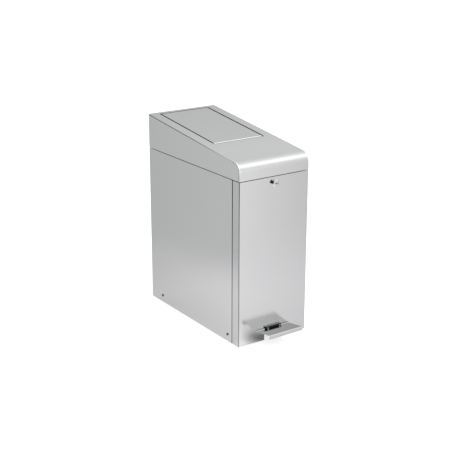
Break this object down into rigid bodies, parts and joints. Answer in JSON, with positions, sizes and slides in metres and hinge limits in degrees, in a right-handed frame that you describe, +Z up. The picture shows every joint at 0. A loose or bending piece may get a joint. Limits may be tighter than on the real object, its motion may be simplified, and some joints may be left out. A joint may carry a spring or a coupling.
{
  "type": "sanitary container",
  "caption": "Slim steel sanitary bin with a foot pedal, a flap in its sloping hinged lid, a lock at the front and a lift-out bucket.",
  "frame": {"origin": "on the floor, in the middle of the overall width and of the overall length", "axes": "+X to the right as seen from the front, +Y from the pedal to the rear, +Z up"},
  "size_m": [0.2024, 0.4623, 0.497],
  "materials": {
    "casing_steel": "satin",
    "front_steel": "satin",
    "lid_steel": "satin",
    "flap_steel": "satin",
    "pedal_steel": "bright",
    "zinc_steel": "zinc plated",
    "rod_steel": "ground",
    "lock_chrome": "polished",
    "screw_steel": "bright",
    "clamp_black": "satin",
    "bucket_plastic": "moulded",
    "bush_nylon": "moulded",
    "black_rubber": "matt"
  },
  "bodies": {
    "casing": {"casing_shell": "casing_steel", "front_panel": "front_steel", "base_pan": "zinc_steel", "rubber_feet": "black_rubber", "rivet_nuts": "screw_steel", "side_screws": "screw_steel", "bucket_shelf": "zinc_steel", "bucket": "bucket_plastic", "pivot_bracket": "zinc_steel", "bracket_rivets": "screw_steel", "pivot_axle": "rod_steel", "axle_clips": "screw_steel", "lever_bumpers": "black_rubber", "lid_bumpers": "black_rubber", "guide_bracket": "zinc_steel", "guide_rivets": "screw_steel", "guide_bushes": "bush_nylon", "casing_hinge_leaf": "zinc_steel", "casing_hinge_rivets": "screw_steel", "hinge_pin": "rod_steel", "lock_housing": "lock_chrome", "lock_nut": "zinc_steel"},
    "pedal": {"pedal_lever": "zinc_steel", "lever_bushes": "bush_nylon", "lever_pad": "bush_nylon", "pad_pin": "rod_steel", "pedal_plate": "pedal_steel", "pedal_clamp": "clamp_black", "clamp_screws": "screw_steel"},
    "rod": {"push_rod": "rod_steel", "rod_foot": "bush_nylon", "rod_cap": "bush_nylon"},
    "lid": {"lid_top": "lid_steel", "lid_shell": "lid_steel", "lid_hinge_leaf": "zinc_steel", "lid_hinge_rivets": "screw_steel", "left_flap_bracket": "zinc_steel", "right_flap_bracket": "zinc_steel", "flap_bushes": "bush_nylon", "flap_bumpers": "black_rubber", "lock_catch": "zinc_steel"},
    "flap": {"flap_panel": "flap_steel", "flap_axle": "rod_steel", "flap_axle_clips": "screw_steel", "flap_cam": "bush_nylon", "cam_studs": "rod_steel", "cam_nuts": "screw_steel"},
    "lock": {"lock_plug": "lock_chrome", "lock_cam": "zinc_steel", "cam_screw": "screw_steel"}
  },
  "joints": [
    {"name": "pedal_hinge", "type": "hinge", "parent": "casing", "child": "pedal", "pos_m": [0, -0.02845, 0.023], "axis": [1, 0, 0], "range_deg": [0, 7]},
    {"name": "rod_lift", "type": "slide", "parent": "casing", "child": "rod", "axis": [0, 0, 1], "range_m": [0, 0.02496]},
    {"name": "lid_hinge", "type": "hinge", "parent": "casing", "child": "lid", "pos_m": [0, 0.22815, 0.41], "axis": [-1, 0, 0], "range_deg": [0, 100]},
    {"name": "flap_hinge", "type": "hinge", "parent": "lid", "child": "flap", "pos_m": [0, 0.19783, 0.48685], "axis": [-1, 0, 0], "range_deg": [0, 65]},
    {"name": "lock_turn", "type": "hinge", "parent": "casing", "child": "lock", "pos_m": [0, -0.17515, 0.394], "axis": [0, 1, 0], "range_deg": [0, 90]}
  ],
  "couplings": [
    {"joint": "rod_lift", "follows": "pedal_hinge", "m_per_rad": 0.20429},
    {"joint": "flap_hinge", "follows": "pedal_hinge", "ratio": 9.2857}
  ]
}
